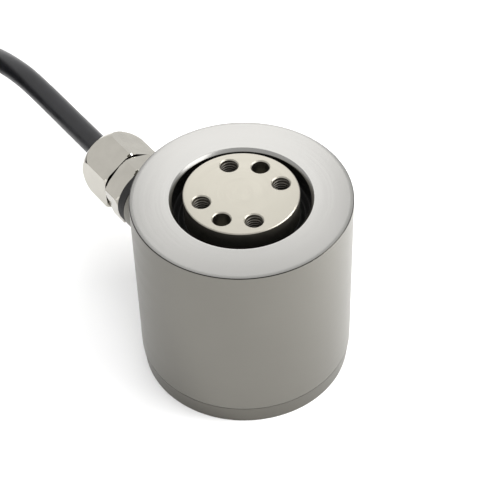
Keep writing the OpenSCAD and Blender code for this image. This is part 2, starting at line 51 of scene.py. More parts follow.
# Body
BODY_R = 25.0
SLEEVE_WALL = 3.0
BAND_TOP = 4.8
RING_TOP = 48.7
RING_UNDER = 39.7
OPENING_R = 15.5
MOUTH_CHAMFER = 0.6
MOUTH_ROUND_R = 0.12
OUTER_CHAMFER = 0.25
FOOT_ROUND_R = 0.18
LOAD_TOP = 50.0
DISC_R = 13.0

# Soft seal, down in the gap round the disc
SEAL_UNDER = 41.9
SEAL_T = 0.6
SEAL_FOLD = 1.2

# Threaded holes in the load face, and the ridge that stands on each hole's wall
LOAD_CIRCLE_R = 9.25
THREAD_ANGLES = (45, 135, 225, 315)
THREAD_HOLE_R = 2.0
THREAD_ROOT_R = THREAD_HOLE_R + 0.02
THREAD_MINOR_R = 1.65
THREAD_PITCH = 0.7
THREAD_DEPTH = 7.6
THREAD_LEAD_IN = 0.75
THREAD_CREST_HALF = 0.06
THREAD_ROOT_HALF = THREAD_PITCH * 0.42
THREAD_STEPS = 36
THREAD_LEAST_GROWN = 0.05

# Cable; points are distance from the body's axis, sideways and height
CABLE_R = 3.1
CABLE_D = 2 * CABLE_R
RUN_START = 49.3
RUN = [(60, 0, 18), (70, 0, 18), (80, 0, 18), (90, 0, 18), (100, 0, 17.5), (110, 0, 15.4),
       (120, 0, 12), (130, 0, 8.3), (140, 0, 5.2), (150, 0, 3.3), (155, 0, 3.1)]
COIL_CENTRE = (155, 44)
COIL_TURNS = 3
COIL_LAYERS = 4
COIL_OUTER_TURN_R = 44.0
COIL_INNER_TURN_R = COIL_OUTER_TURN_R - COIL_TURNS * CABLE_D
COIL_TOP = COIL_LAYERS * CABLE_D
COIL_CLIMB = math.radians(60)
COIL_STEPS = 72
CLIMB_STEPS = 14
TAIL = [(155, 88, 21.7), (148, 87.2, 21.9), (140, 85.1, 22.9), (133, 81.8, 24), (127, 77.6, 25.2),
        (121, 71.5, 26.6), (117.3, 66, 27.6), (114.3, 58.5, 28.3), (113.4, 51.5, 28.5),
        (114.4, 44, 28.5), (117, 37, 28.5), (121, 31.5, 28.5), (125, 27.5, 28.5)]
LEAD_STEP = 2.0

# Shrunk sleeve on the cable's end; its outline is distance along it and radius
END_SLEEVE_L = 14.0
END_SLEEVE_R = 3.6
END_SLEEVE_OUTLINE = [(0, CABLE_R + 0.15), (0.3, END_SLEEVE_R - 0.1), (1.2, END_SLEEVE_R),
                      (END_SLEEVE_L - 1.6, END_SLEEVE_R), (END_SLEEVE_L - 0.5, END_SLEEVE_R - 0.25),
                      (END_SLEEVE_L, END_SLEEVE_R - 1)]

# Cores; their way is distance past the sleeve, share of the fanning out, share of the way down
CORE_R = 0.55
CORE_L = 20.0
CORE_WAY = [(-1, 0, 0), (2, 0, 0), (8, 0.75, 0.35), (14, 1, 1), (CORE_L, 1, 1)]
CORE_Y = (-1.95, -0.65, 0.65, 1.95)
CORE_RISE = 0.72
CORE_FAN = 1.6
CORE_STEP = 0.8
CORE_COLOURS = {
    "white": (0.80, 0.79, 0.76),
    "brown": (0.20, 0.10, 0.05),
    "green": (0.05, 0.28, 0.10),
    "yellow": (0.78, 0.60, 0.06),
    "grey": (0.30, 0.31, 0.32),
    "pink": (0.75, 0.33, 0.38),
    "blue": (0.05, 0.15, 0.48),
    "red": (0.58, 0.04, 0.03),
}

# Tinned tips; their girth along their length is in shares of their radius
TIP_L = 5.0
TIP_R = 0.35
TIP_SEAT = 0.3
TIP_GIRTH = (1, 1, 1.05, 1, 0.97, 1, 0.9, 0.55)

# Strap round the coil
TIE_ANGLE = math.radians(20)
TIE_W = 9.0
TIE_T = 0.8
TIE_CORNER_R = 2.2

# Cable gland; starts and ends are distances from the body's axis
GLAND_AZIMUTH = math.radians(154)
GLAND_Z = 18.0
BOSS_START = BODY_R - 2.5
BOSS_END = 38.9
BOSS_R = 8.5
BOSS_CHAMFER = 0.25
THREADED_END_R = 6.0
THREADED_END_BORE_R = THREADED_END_R + SEAT_GAP
CABLE_BORE_R = CABLE_R + 0.6
WASHER_END = 41.3
WASHER_R = BOSS_R - 0.05
HEX_END = 46.9
HEX_FLATS_R = 8.0
HEX_CORNER_R = HEX_FLATS_R / math.cos(math.pi / 6)
HEX_TURN = math.radians(12)
HEX_CHAMFER = 0.9
CORNER_SLOPE = 1.7
CAP_START = 47.4
CAP_CHAMFER = 0.7
CAP_HEX_L = 6.5
DOME_START = CAP_START + CAP_HEX_L
DOME_R = HEX_CORNER_R + 0.05
DOME_POWER = 2.2
CAP_END = 60.0
CAP_END_R = 5.0
CAP_MOUTH_L = 0.4
CAP_MOUTH_STEP = 0.3

# Camera, as the photograph's own perspective gives it
CAMERA_AT = (122.47, -222.27, 293.75)
CAMERA_HEADING = math.radians(29)
CAMERA_PITCH = math.radians(45.553)
CAMERA_ROLL = math.radians(-1.982)
CAMERA_LENS = 119.375
CAMERA_SENSOR = 36

# Light: each lamp's place and aim in millimetres, its side in metres and its power in watts
SKY_STRENGTH = 1.35
LAMPS = {
    "key": ((500, 150, 600), (0, 0, 20), 0.5, 2.5),
    "back": ((-63, 114, 155), (-10, 17, 48), 0.07, 0.03),
    "side": ((260, 120, 60), (0, 0, 25), 0.15, 1.3),
}

# Half the floor's side, in millimetres
FLOOR_HALF = 1500.0


# Meshes

def shell_faces(rows, columns, loop=False):
    """Faces of a closed shell on a grid, where point (i, j) is number i * columns + j: quads
    between neighbouring points, and the last column joins the first. In a loop the last row joins
    the first as well, and otherwise one face closes each end."""
    i = np.arange(rows if loop else rows - 1)[:, None]
    j = np.arange(columns)[None, :]
    i2, j2 = (i + 1) % rows, (j + 1) % columns
    quads = [i2 * columns + j, i2 * columns + j2, i * columns + j2, i * columns + j]
    faces = np.stack(quads, axis=-1).reshape(-1, 4).tolist()
    if not loop:
        faces.append(list(range(columns)))
        faces.append(list(range(rows * columns - 1, (rows - 1) * columns - 1, -1)))
    return faces


def mesh_object(name, points, faces, smooth=True):
    """One mesh object from points in millimetres and faces, placed by its mesh alone."""
    mesh = bpy.data.meshes.new(name)
    mesh.from_pydata((np.asarray(points) * MM).tolist(), [], faces)
    mesh.polygons.foreach_set("use_smooth", np.full(len(mesh.polygons), smooth))
    mesh.update()
    obj = bpy.data.objects.new(name, mesh)
    bpy.context.scene.collection.objects.link(obj)
    return obj


def keep_edges(obj, degrees=28):
    """Smooth shading that stays crisp across edges sharper than the angle."""
    obj.data.set_sharp_from_angle(angle=math.radians(degrees))
    return obj


def arc(centre, radius, start, end, count=6):
    """Points on a round corner, from one angle to another in degrees."""
    t = np.radians(np.linspace(start, end, count))
    return [(centre[0] + radius * math.cos(a), centre[1] + radius * math.sin(a)) for a in t]


def sweep(name, path, radius, sides=24):
    """A round tube along a path, closed at both ends: at each point, a circle of the radius there
    in the plane across the path, whose first axis is the cross product of the path's direction
    and the upward one."""
    path = np.asarray(path, float)
    tangent = np.gradient(path, axis=0)
    tangent /= np.linalg.norm(tangent, axis=1)[:, None]
    side = np.cross(tangent, (0, 0, 1))
    side /= np.linalg.norm(side, axis=1)[:, None]
    up = np.cross(side, tangent)
    phi = np.linspace(0, TURN, sides, endpoint=False)[None, :, None]
    reach = np.broadcast_to(radius, (len(path),))[:, None, None]
    rings = path[:, None] + reach * (np.cos(phi) * side[:, None] + np.sin(phi) * up[:, None])
    return mesh_object(name, rings.reshape(-1, 3), shell_faces(len(path), sides))


# Camera, cable and what goes with the cable

def add_camera():
    """The photograph's viewing place: turned by heading, tipped down by pitch, then rolled."""
    data = bpy.data.cameras.new("camera")
    data.lens = CAMERA_LENS
    data.sensor_width = CAMERA_SENSOR
    data.clip_start = 0.01
    data.clip_end = 20
    camera = bpy.data.objects.new("camera", data)
    bpy.context.scene.collection.objects.link(camera)
    turn = Euler((math.pi / 2 - CAMERA_PITCH, 0, CAMERA_HEADING)).to_matrix()
    turn = turn @ Euler((0, 0, CAMERA_ROLL)).to_matrix()
    camera.matrix_world = turn.to_4x4()
    camera.location = Vector(CAMERA_AT) * MM
    bpy.context.scene.camera = camera


def from_gland(points):
    """Points given as distance from the body's axis, sideways and height, turned to the row frame:
    x is the distance times the cosine of the gland's azimuth less sideways times its sine, and y
    is the distance times the sine plus sideways times the cosine."""
    p = np.asarray(points, float)
    c, s = math.cos(GLAND_AZIMUTH), math.sin(GLAND_AZIMUTH)
    return np.stack([p[:, 0] * c - p[:, 1] * s, p[:, 0] * s + p[:, 1] * c, p[:, 2]], axis=1)


def smooth_path(points, step, samples=24):
    """A curve through the points, resampled evenly: between two points it is the cubic whose
    slope at each point is half the step between that point's neighbours."""
    p = np.asarray(points, float)
    before = np.vstack([2 * p[0] - p[1], p[:-1]])
    after = np.vstack([p[1:], 2 * p[-1] - p[-2]])
    slope = (after - before) / 2
    t = np.linspace(0, 1, samples, endpoint=False)[None, :, None]
    a, b = p[:-1, None], p[1:, None]
    sa, sb = slope[:-1, None], slope[1:, None]
    curve = ((2 * t**3 - 3 * t**2 + 1) * a + (t**3 - 2 * t**2 + t) * sa
             + (3 * t**2 - 2 * t**3) * b + (t**3 - t**2) * sb)
    dense = np.vstack([curve.reshape(-1, 3), p[-1:]])
    return even(dense, step)


def even(path, step):
    """The same path with points about one step apart, by linear interpolation along its length."""
    lengths = np.r_[0, np.cumsum(np.linalg.norm(np.diff(path, axis=0), axis=1))]
    count = max(2, int(round(lengths[-1] / step)) + 1)
    at = np.linspace(0, lengths[-1], count)
    return np.stack([np.interp(at, lengths, path[:, i]) for i in range(3)], axis=1)


def coil_path():
    """Turns of a coil, layer on layer: within a layer the radius changes by one cable diameter a
    turn, inwards on one layer and outwards on the next, and between layers the radius stays while
    the height climbs by one diameter on a cosine ramp."""
    angle, ends, parts = -math.pi / 2, (COIL_OUTER_TURN_R, COIL_INNER_TURN_R), []
    for layer in range(COIL_LAYERS):
        height = CABLE_R + layer * CABLE_D
        turn = np.linspace(0, COIL_TURNS * TURN, COIL_TURNS * COIL_STEPS, endpoint=False)
        radius = np.interp(turn, (0, COIL_TURNS * TURN), ends)
        parts.append((angle + turn, radius, np.full_like(turn, height)))
        angle += COIL_TURNS * TURN
        if layer < COIL_LAYERS - 1:
            climb = np.linspace(0, COIL_CLIMB, CLIMB_STEPS, endpoint=False)
            lift = height + CABLE_D * (1 - np.cos(climb / COIL_CLIMB * math.pi)) / 2
            parts.append((angle + climb, np.full_like(climb, ends[1]), lift))
            angle += COIL_CLIMB
        ends = ends[::-1]
    theta, radius, height = (np.concatenate(rows) for rows in zip(*parts))
    return np.stack([COIL_CENTRE[0] + radius * np.cos(theta),
                     COIL_CENTRE[1] + radius * np.sin(theta), height], axis=1)


def cable_path():
    """The whole lead in one line: from the gland's grip, out and down to the floor, through the
    coil's turns, and up onto the coil's top."""
    run = smooth_path(from_gland([(RUN_START, 0, GLAND_Z)] + RUN), LEAD_STEP)
    tail = smooth_path(from_gland(TAIL), LEAD_STEP)
    return np.vstack([run[:-1], from_gland(coil_path()), tail])


def past_tail(points):
    """Points given along, across and above the lead's end: the end point, plus the distance along
    times the last step's direction, plus the distance across times that direction turned left."""
    p = np.asarray(points, float)
    end, step = np.array(TAIL[-1]), np.subtract(TAIL[-1], TAIL[-2])[:2]
    along = step / np.linalg.norm(step)
    flat = end[:2] + p[:, :1] * along + p[:, 1:2] * np.array([-along[1], along[0]])
    return from_gland(np.column_stack([flat, end[2] + p[:, 2]]))


def end_pieces():
    """The shrunk sleeve, the eight cores that fan out and lie down on top of the coil, and their
    tinned tips. Each core's place is its place in the sleeve plus a share of its way out."""
    along, girth = np.transpose(END_SLEEVE_OUTLINE)
    line = past_tail(np.stack([along, along * 0, along * 0], axis=1))
    sleeve = sweep("end_sleeve_tube", line, girth, sides=32)
    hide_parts("end_sleeve")
    cores, tips = [], []
    rest = COIL_TOP + CORE_R + SEAT_GAP - TAIL[-1][2]
    for i, colour in enumerate(CORE_COLOURS):
        y0, z0 = CORE_Y[i // 2], CORE_RISE * (1 if i % 2 else -1)
        y1 = (i - (len(CORE_COLOURS) - 1) / 2) * CORE_FAN
        points = [(END_SLEEVE_L + past, y0 + out * (y1 - y0), z0 + down * (rest - z0))
                  for past, out, down in CORE_WAY]
        core_line = smooth_path(past_tail(points), CORE_STEP)
        cores.append(sweep(f"core_{colour}", core_line, CORE_R, sides=12))
        start = END_SLEEVE_L + CORE_L - TIP_SEAT
        tip_line = past_tail([(start + s, y1, rest) for s in np.linspace(0, TIP_L, len(TIP_GIRTH))])
        tips.append(sweep(f"tip_{colour}", tip_line, TIP_R * np.array(TIP_GIRTH), sides=12))
    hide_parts("end_cores")
    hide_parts("end_tips")
    return sleeve, cores, tips


def coil_tie():
    """A woven strap round the coil, whose section is a rounded rectangle round the coil's own. Its
    outer outline is swept across the strap's width and its inner one back; the strap's thickness
    is the step between them, and its underside lies on the floor."""
    outer, inner = COIL_OUTER_TURN_R + CABLE_R, COIL_INNER_TURN_R - CABLE_R

    def outline(grow):
        """The section grown by a distance. Its low side is on the floor, or TIE_T above it inside."""
        r = TIE_CORNER_R + grow
        left, right = inner - grow + r, outer + grow - r
        low, high = (r if grow > 0 else TIE_T + r), COIL_TOP + grow - r
        corners = [(right, low), (right, high), (left, high), (left, low)]
        starts = [-90, 0, 90, 180]
        return np.array([point for corner, start in zip(corners, starts)
                         for point in arc(corner, r, start, start + 90, 10)])

    c, s = math.cos(TIE_ANGLE), math.sin(TIE_ANGLE)
    rings = []
    for grow, across in [(TIE_T, -TIE_W / 2), (TIE_T, TIE_W / 2), (0, TIE_W / 2), (0, -TIE_W / 2)]:
        reach, height = outline(grow).T
        x = COIL_CENTRE[0] + reach * c - across * s
        y = COIL_CENTRE[1] + reach * s + across * c
        rings.append(from_gland(np.column_stack([x, y, height])))
    points = np.stack(rings)
    faces = shell_faces(len(rings), points.shape[1], loop=True)
    return keep_edges(mesh_object("coil_strap", points.reshape(-1, 3), faces))


add_camera()
lead_line = cable_path()
lead = sweep("lead", lead_line, CABLE_R)
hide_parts("cable_run", "cable_coil", "cable_tail")
sleeve_tube, core_tubes, core_tips = end_pieces()
strap = coil_tie()
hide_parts("coil_tie")


# Body

def lathe(name, profile, steps=256):
    """A turned ring: the closed outline of (radius, height) points, carried round the vertical
    axis. The outline runs counter-clockwise, so that its faces point outwards."""
    radius, height = np.asarray(profile, float).T
    a = np.linspace(0, TURN, steps, endpoint=False)[:, None]
    shape = (steps, len(height))
    points = np.stack([radius * np.cos(a), radius * np.sin(a), np.broadcast_to(height, shape)], -1)
    return keep_edges(mesh_object(name, points.reshape(-1, 3), shell_faces(*shape, loop=True)))


def build_sleeve():
    """The sleeve's section, with its small chamfers and rounded edges, turned round the axis."""
    inner = BODY_R - SLEEVE_WALL
    mouth_r = OPENING_R + MOUTH_ROUND_R
    profile = [(inner, BAND_TOP), (BODY_R - FOOT_ROUND_R, BAND_TOP)]
    profile += arc((BODY_R - FOOT_ROUND_R, BAND_TOP + FOOT_ROUND_R), FOOT_ROUND_R, -90, 0)
    profile += [(BODY_R, z) for z in np.linspace(BAND_TOP + 1, RING_TOP - 1, 12)]
    profile += arc((BODY_R - OUTER_CHAMFER, RING_TOP - OUTER_CHAMFER), OUTER_CHAMFER, 0, 90)
    profile += [(r, RING_TOP) for r in np.linspace(BODY_R - 1, OPENING_R + 1, 8)]
    profile += arc((mouth_r + MOUTH_CHAMFER, RING_TOP - MOUTH_ROUND_R), MOUTH_ROUND_R, 90, 135, 4)
    profile += arc((mouth_r, RING_TOP - MOUTH_CHAMFER - MOUTH_ROUND_R), MOUTH_ROUND_R, 135, 180, 4)
    profile += [(OPENING_R, RING_UNDER), (inner, RING_UNDER)]
    return lathe("sleeve_shell", profile)


def build_gap_seal():
    """A soft ring between the disc and the sleeve, with one shallow fold: its height runs through
    one turn of a cosine across the gap."""
    across = np.linspace(0, 1, 24)
    radius = DISC_R + (OPENING_R - DISC_R) * across
    under = SEAL_UNDER + SEAL_FOLD * (1 + np.cos(TURN * across)) / 2
    profile = np.r_[np.c_[radius, under], np.c_[radius, under + SEAL_T][::-1]]
    return lathe("gap_seal_ring", profile, steps=192)


def thread_ridge(name, x, y):
    """A thread's ridge inside a hole: a flattened triangle carried along a helix, whose angle
    runs at one turn a pitch and whose height falls from just below the hole's mouth. It grows
    out of the hole's wall over its first half turn and sinks back over its last."""
    turns = THREAD_DEPTH / THREAD_PITCH
    t = np.linspace(0, turns * TURN, int(turns * THREAD_STEPS))[:, None]
    section = np.array([(THREAD_ROOT_R, THREAD_ROOT_HALF), (THREAD_MINOR_R, THREAD_CREST_HALF),
                        (THREAD_MINOR_R, -THREAD_CREST_HALF), (THREAD_ROOT_R, -THREAD_ROOT_HALF)])
    grown = np.clip(np.minimum(t, t[-1] - t) / (TURN / 2), THREAD_LEAST_GROWN, 1)
    radius = THREAD_ROOT_R - (THREAD_ROOT_R - section[:, 0]) * grown
    height = LOAD_TOP - THREAD_LEAD_IN - THREAD_PITCH * t / TURN + section[:, 1]
    points = np.stack([x + radius * np.cos(t), y + radius * np.sin(t), height], -1)
    return mesh_object(name, points.reshape(-1, 3), shell_faces(len(t), len(section)))


# Cable gland

AROUND = np.linspace(0, TURN, 360, endpoint=False)


def along_gland(points):
    """Points given as across, upward and distance along the gland's axis, in the row frame."""
    p = np.asarray(points, float)
    return from_gland(np.stack([p[:, 2], -p[:, 0], GLAND_Z + p[:, 1]], axis=1))


def gland_piece(name, distance, outside, bore):
    """A ring on the gland's axis, out along its outside and back through its bore. The distance
    from the body's axis is a column of stations, and the outside and the bore are radii for
    the whole piece, for each station, or for each station and each angle around."""
    shape = (len(distance), len(AROUND))
    radius = np.vstack([np.broadcast_to(outside, shape), np.broadcast_to(bore, shape)[::-1]])
    where = np.broadcast_to(np.vstack([distance, distance[::-1]]), radius.shape)
    points = np.stack([radius * np.cos(AROUND), radius * np.sin(AROUND), where], -1)
    faces = shell_faces(*radius.shape, loop=True)
    return keep_edges(mesh_object(name, along_gland(points.reshape(-1, 3)), faces), degrees=22)


def hexagon(turn=0.0):
    """How far a hexagon reaches at each angle around: the flat's distance over the cosine of the
    angle from the nearest flat's middle. Its first flat's middle lies at the turn."""
    nearest = (AROUND - turn + math.pi / 6) % (math.pi / 3) - math.pi / 6
    return HEX_FLATS_R / np.cos(nearest)


def body_outline(distance):
    """The gland body: a hexagon whose corners are turned off at both ends by a slanting cut."""
    from_end = np.minimum(distance - WASHER_END, HEX_END - distance)
    return np.minimum(hexagon(HEX_TURN), HEX_CORNER_R - HEX_CHAMFER + from_end * CORNER_SLOPE)


def cap_outline(distance):
    """The cap nut: its hexagon, cut by a chamfer at the near end and by a dome at the far one. The
    dome's radius falls to the flat end with the root of one less a power of the share passed."""
    near = HEX_CORNER_R - CAP_CHAMFER + (distance - CAP_START) * CORNER_SLOPE
    share = np.clip((distance - DOME_START) / (CAP_END - DOME_START), 0, 1)
    dome = CAP_END_R + (DOME_R - CAP_END_R) * np.sqrt(1 - share**DOME_POWER)
    return np.minimum(hexagon(), np.minimum(near, dome))


def build_gland():
    """The boss, washer, hexagonal body and cap nut, each under the name of the solid it shows."""
    boss = np.r_[BOSS_START, BODY_R + 1, np.linspace(BODY_R + 2, BOSS_END - BOSS_CHAMFER, 8), BOSS_END]
    washer = np.linspace(BOSS_END, WASHER_END, 9)
    body = np.r_[WASHER_END, np.linspace(WASHER_END + 0.1, HEX_END - 0.1, 30), HEX_END]
    dome = DOME_START + (CAP_END - DOME_START) * np.sin(np.linspace(0.03, math.pi / 2, 40))
    cap = np.r_[np.linspace(CAP_START, DOME_START, 24), dome]
    boss, washer, body, cap = (stations[:, None] for stations in (boss, washer, body, cap))
    boss_r = np.where(boss < BOSS_END, BOSS_R, BOSS_R - BOSS_CHAMFER)
    cap_bore = np.where(cap > CAP_END - CAP_MOUTH_L, CABLE_BORE_R + CAP_MOUTH_STEP, CABLE_BORE_R)
    return {
        "cable_boss": gland_piece("gland_boss", boss, boss_r, THREADED_END_BORE_R),
        "gland_washer": gland_piece("gland_seal_ring", washer, WASHER_R, THREADED_END_BORE_R),
        "gland_body": gland_piece("gland_hexagon", body, body_outline(body), CABLE_BORE_R),
        "gland_cap_nut": gland_piece("gland_cap", cap, cap_outline(cap), cap_bore),
    }


# Materials

# The usual range of a noise, and the relief's depth in metres
NOISE_LOW, NOISE_HIGH = 0.3, 0.7
RELIEF_DEPTH = 0.00002

# Steel: turning marks across and along them, blotches per metre, the marks' share in the tone, and
# the tone of the painted shade down in a bore or groove
MARKS_PER_METRE = 4000.0
MARKS_PER_RADIAN = 0.6
BLOTCHES_PER_METRE = 60.0
MARKS_SHARE = 0.6
BORE_PAINTED_SHADE = 0.8

# Plating: clouds and dimples per metre, the dimples' strength, and the range of roughness in shares
CLOUDS_PER_METRE = 220.0
DIMPLES_PER_METRE = 900.0
DIMPLE_STRENGTH = 0.03
SMOOTHEST, ROUGHEST = 0.8, 1.3

# The Mix node's colour sockets by number
MIX_FIRST, MIX_SECOND, MIX_RESULT = 6, 7, 2


def shade(colour, factor):
    """A colour made darker or lighter by one factor."""
    return tuple(min(1.0, c * factor) for c in colour)


def material(name, colour, metallic, roughness):
    """A material with its plain values on the shader's own sockets, and its nodes for the rest."""
    m = bpy.data.materials.new(name)
    m.use_nodes = True
    shader = m.node_tree.nodes["Principled BSDF"]
    shader.inputs["Base Color"].default_value = (*colour, 1)
    shader.inputs["Metallic"].default_value = metallic
    shader.inputs["Roughness"].default_value = roughness
    return m, m.node_tree.nodes, m.node_tree.links, shader


def feed(links, value, socket):
    """Links a node's output to a socket, or sets the socket to a number or a colour."""
    if isinstance(value, bpy.types.NodeSocket):
        links.new(value, socket)
    else:
        socket.default_value = (*value, 1) if isinstance(value, tuple) else value


def math_node(nodes, links, operation, a, b):
    """One Math node on values or sockets."""
    node = nodes.new("ShaderNodeMath")
    node.operation = operation
    feed(links, a, node.inputs[0])
    feed(links, b, node.inputs[1])
    return node.outputs[0]


def combine(nodes, links, x, y, z):
    """A vector from three values or sockets."""
    node = nodes.new("ShaderNodeCombineXYZ")
    for value, socket in zip((x, y, z), node.inputs):
        feed(links, value, socket)
    return node.outputs[0]


def noise(nodes, links, vector, scale, detail=3.0):
    """A Noise texture's strength at the place that a vector gives."""
    node = nodes.new("ShaderNodeTexNoise")
    node.inputs["Scale"].default_value = scale
    node.inputs["Detail"].default_value = detail
    links.new(vector, node.inputs["Vector"])
    return node.outputs["Fac"]


def remap(nodes, links, value, low, high):
    """A noise strength spread to the range from low to high."""
    node = nodes.new("ShaderNodeMapRange")
    node.inputs["From Min"].default_value = NOISE_LOW
    node.inputs["From Max"].default_value = NOISE_HIGH
    node.inputs["To Min"].default_value = low
    node.inputs["To Max"].default_value = high
    links.new(value, node.inputs["Value"])
    return node.outputs["Result"]


def blend(nodes, links, share, first, second):
    """A colour that runs from the first to the second, as the share runs from 0 to 1."""
    mix = nodes.new("ShaderNodeMix")
    mix.data_type = "RGBA"
    links.new(share, mix.inputs[0])
    feed(links, first, mix.inputs[MIX_FIRST])
    feed(links, second, mix.inputs[MIX_SECOND])
    return mix.outputs[MIX_RESULT]


def bump(nodes, links, shader, value, strength):
    """Relief from a value, as a Bump node on the shader's normal."""
    node = nodes.new("ShaderNodeBump")
    node.inputs["Strength"].default_value = strength
    node.inputs["Distance"].default_value = RELIEF_DEPTH
    links.new(value, node.inputs["Height"])
    links.new(node.outputs["Normal"], shader.inputs["Normal"])


def turning_marks(nodes, links, place):
    """Fine rings left by turning, as noise that changes fast with the distance from the axis and
    with the height, and slowly with the angle round the axis. Gives the height too."""
    split = nodes.new("ShaderNodeSeparateXYZ")
    links.new(place, split.inputs[0])
    x, y, z = split.outputs
    length = nodes.new("ShaderNodeVectorMath")
    length.operation = "LENGTH"
    links.new(combine(nodes, links, x, y, 0.0), length.inputs[0])
    outwards = math_node(nodes, links, "MULTIPLY", length.outputs["Value"], MARKS_PER_METRE)
    upwards = math_node(nodes, links, "MULTIPLY", z, MARKS_PER_METRE)
    angle = math_node(nodes, links, "ARCTAN2", y, x)
    onwards = math_node(nodes, links, "MULTIPLY", angle, MARKS_PER_RADIAN)
    rings = combine(nodes, links, outwards, upwards, onwards)
    return noise(nodes, links, rings, 1.0, detail=4.0), z


def turned_steel(name, dark, light, roughness, spread=0.05, marks=0.12, painted_shade_under=None):
    """Lathe-turned steel: fine rings, with a slow blotchy change of tone over them. Below the height
    given last, in millimetres, it is darker: painted shade, as down in a drilled hole or a turned groove."""
    m, nodes, links, shader = material(name, light, 1.0, roughness)
    place = nodes.new("ShaderNodeTexCoord").outputs["Object"]
    grain, height = turning_marks(nodes, links, place)
    cloud = noise(nodes, links, place, BLOTCHES_PER_METRE)
    tone = math_node(nodes, links, "ADD", math_node(nodes, links, "MULTIPLY", grain, MARKS_SHARE),
                     math_node(nodes, links, "MULTIPLY", cloud, 1 - MARKS_SHARE))
    colour = blend(nodes, links, remap(nodes, links, tone, 0, 1), dark, light)
    # Painted shade: below that height the colour is darkened.
    if painted_shade_under is not None:
        below = math_node(nodes, links, "LESS_THAN", height, painted_shade_under * MM)
        colour = blend(nodes, links, below, colour, shade(dark, BORE_PAINTED_SHADE))
    links.new(colour, shader.inputs["Base Color"])
    rough = remap(nodes, links, grain, roughness - spread, roughness + spread)
    links.new(rough, shader.inputs["Roughness"])
    bump(nodes, links, shader, grain, marks)
    return m


def plated_metal(name, dark, light, roughness):
    """Bright plating: slight clouding of tone and roughness, and a faint orange-peel relief."""
    m, nodes, links, shader = material(name, light, 1.0, roughness)
    place = nodes.new("ShaderNodeTexCoord").outputs["Object"]
    cloud = noise(nodes, links, place, CLOUDS_PER_METRE)
    colour = blend(nodes, links, remap(nodes, links, cloud, 0, 1), dark, light)
    links.new(colour, shader.inputs["Base Color"])
    rough = remap(nodes, links, cloud, roughness * SMOOTHEST, roughness * ROUGHEST)
    links.new(rough, shader.inputs["Roughness"])
    bump(nodes, links, shader, noise(nodes, links, place, DIMPLES_PER_METRE), DIMPLE_STRENGTH)
    return m


def plain_stuff(name, dark, light, roughness, scale=400.0, relief=0.15, spread=0.05, finer=6):
    """Rubber, plastic or foil: fine noise in its tone and roughness, and a finer one in its relief."""
    m, nodes, links, shader = material(name, light, 0.0, roughness)
    place = nodes.new("ShaderNodeTexCoord").outputs["Object"]
    grain = noise(nodes, links, place, scale)
    colour = blend(nodes, links, remap(nodes, links, grain, 0, 1), dark, light)
    links.new(colour, shader.inputs["Base Color"])
    rough = remap(nodes, links, grain, roughness - spread, roughness + spread)
    links.new(rough, shader.inputs["Roughness"])
    bump(nodes, links, shader, noise(nodes, links, place, scale * finer), relief)
    return m


def dress(obj, *finishes):
    """Gives an object its finishes in place of its own."""
    obj.data.materials.clear()
    for finish in finishes:
        obj.data.materials.append(finish)


def dress_node(name, finish):
    """Gives a CAD node's material slots one material, and leaves its mesh alone."""
    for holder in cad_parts[name].material_slots:
        holder.material = finish


RING_STEEL = (0.300, 0.296, 0.284)
# Side wall: darker than the ring, painted shade in place of the darker surroundings it reflects
SHADED_WALL_STEEL = (0.172, 0.166, 0.148)
BAND_STEEL = (0.130, 0.124, 0.108)
DISC_STEEL = (0.375, 0.357, 0.310)
# Rounded outer edge: near black, a painted dark reflection
EDGE_DARK_REFLECTION_STEEL = (0.030, 0.029, 0.026)
# Thread ridges: far darker than the disc they are cut in, painted shade down in the holes
THREAD_SHADED_STEEL = (0.15, 0.14, 0.125)
NICKEL = (0.50, 0.48, 0.43)

# Depths below the ring and the load face where the painted shade starts
MOUTH_PAINTED_SHADE_DEPTH = 0.75
HOLE_PAINTED_SHADE_DEPTH = 0.3

# Ring steel: painted shade darkens the mouth's chamfer and the bore below it.
ring_steel = turned_steel("ring_steel", shade(RING_STEEL, 0.96), RING_STEEL, 0.24, spread=0.025,
                          marks=0.05, painted_shade_under=RING_TOP - MOUTH_PAINTED_SHADE_DEPTH)
# Painted dark reflection on the sleeve's rounded outer edge.
edge_dark_reflection_steel = turned_steel("edge_dark_reflection_steel", shade(EDGE_DARK_REFLECTION_STEEL, 0.9), EDGE_DARK_REFLECTION_STEEL, 0.2)
# Painted shade: the sleeve's side wall is darker than its ring.
shaded_wall_steel = turned_steel("shaded_wall_steel", shade(SHADED_WALL_STEEL, 0.92), SHADED_WALL_STEEL, 0.38)
band_steel = turned_steel("band_steel", shade(BAND_STEEL, 0.9), BAND_STEEL, 0.42)
# Disc steel: painted shade darkens it in the drilled holes and down its side.
disc_steel = turned_steel("disc_steel", shade(DISC_STEEL, 0.93), DISC_STEEL, 0.36,
                          painted_shade_under=LOAD_TOP - HOLE_PAINTED_SHADE_DEPTH)
# Painted shade: the thread ridges are a darkened copy of the disc's steel.
thread_shaded_steel = turned_steel("thread_shaded_steel", shade(THREAD_SHADED_STEEL, 0.8), THREAD_SHADED_STEEL, 0.35)
nickel = plated_metal("nickel", shade(NICKEL, 0.92), NICKEL, 0.10)
dark_rubber = plain_stuff("dark_rubber", (0.003, 0.003, 0.003), (0.006, 0.006, 0.006), 0.7)
jacket = plain_stuff("jacket", (0.004, 0.004, 0.005), (0.007, 0.007, 0.009), 0.34, scale=300.0, relief=0.1)
woven = plain_stuff("woven", (0.012, 0.012, 0.013), (0.03, 0.03, 0.033), 0.8, scale=1500.0, relief=0.5)
shrink = plain_stuff("shrink", (0.006, 0.006, 0.006), (0.012, 0.012, 0.012), 0.3, scale=500.0, relief=0.2)
tinned = plated_metal("tinned", (0.62, 0.61, 0.58), (0.76, 0.75, 0.72), 0.25)
screw_steel = turned_steel("screw_steel", (0.42, 0.42, 0.42), (0.52, 0.52, 0.52), 0.32)
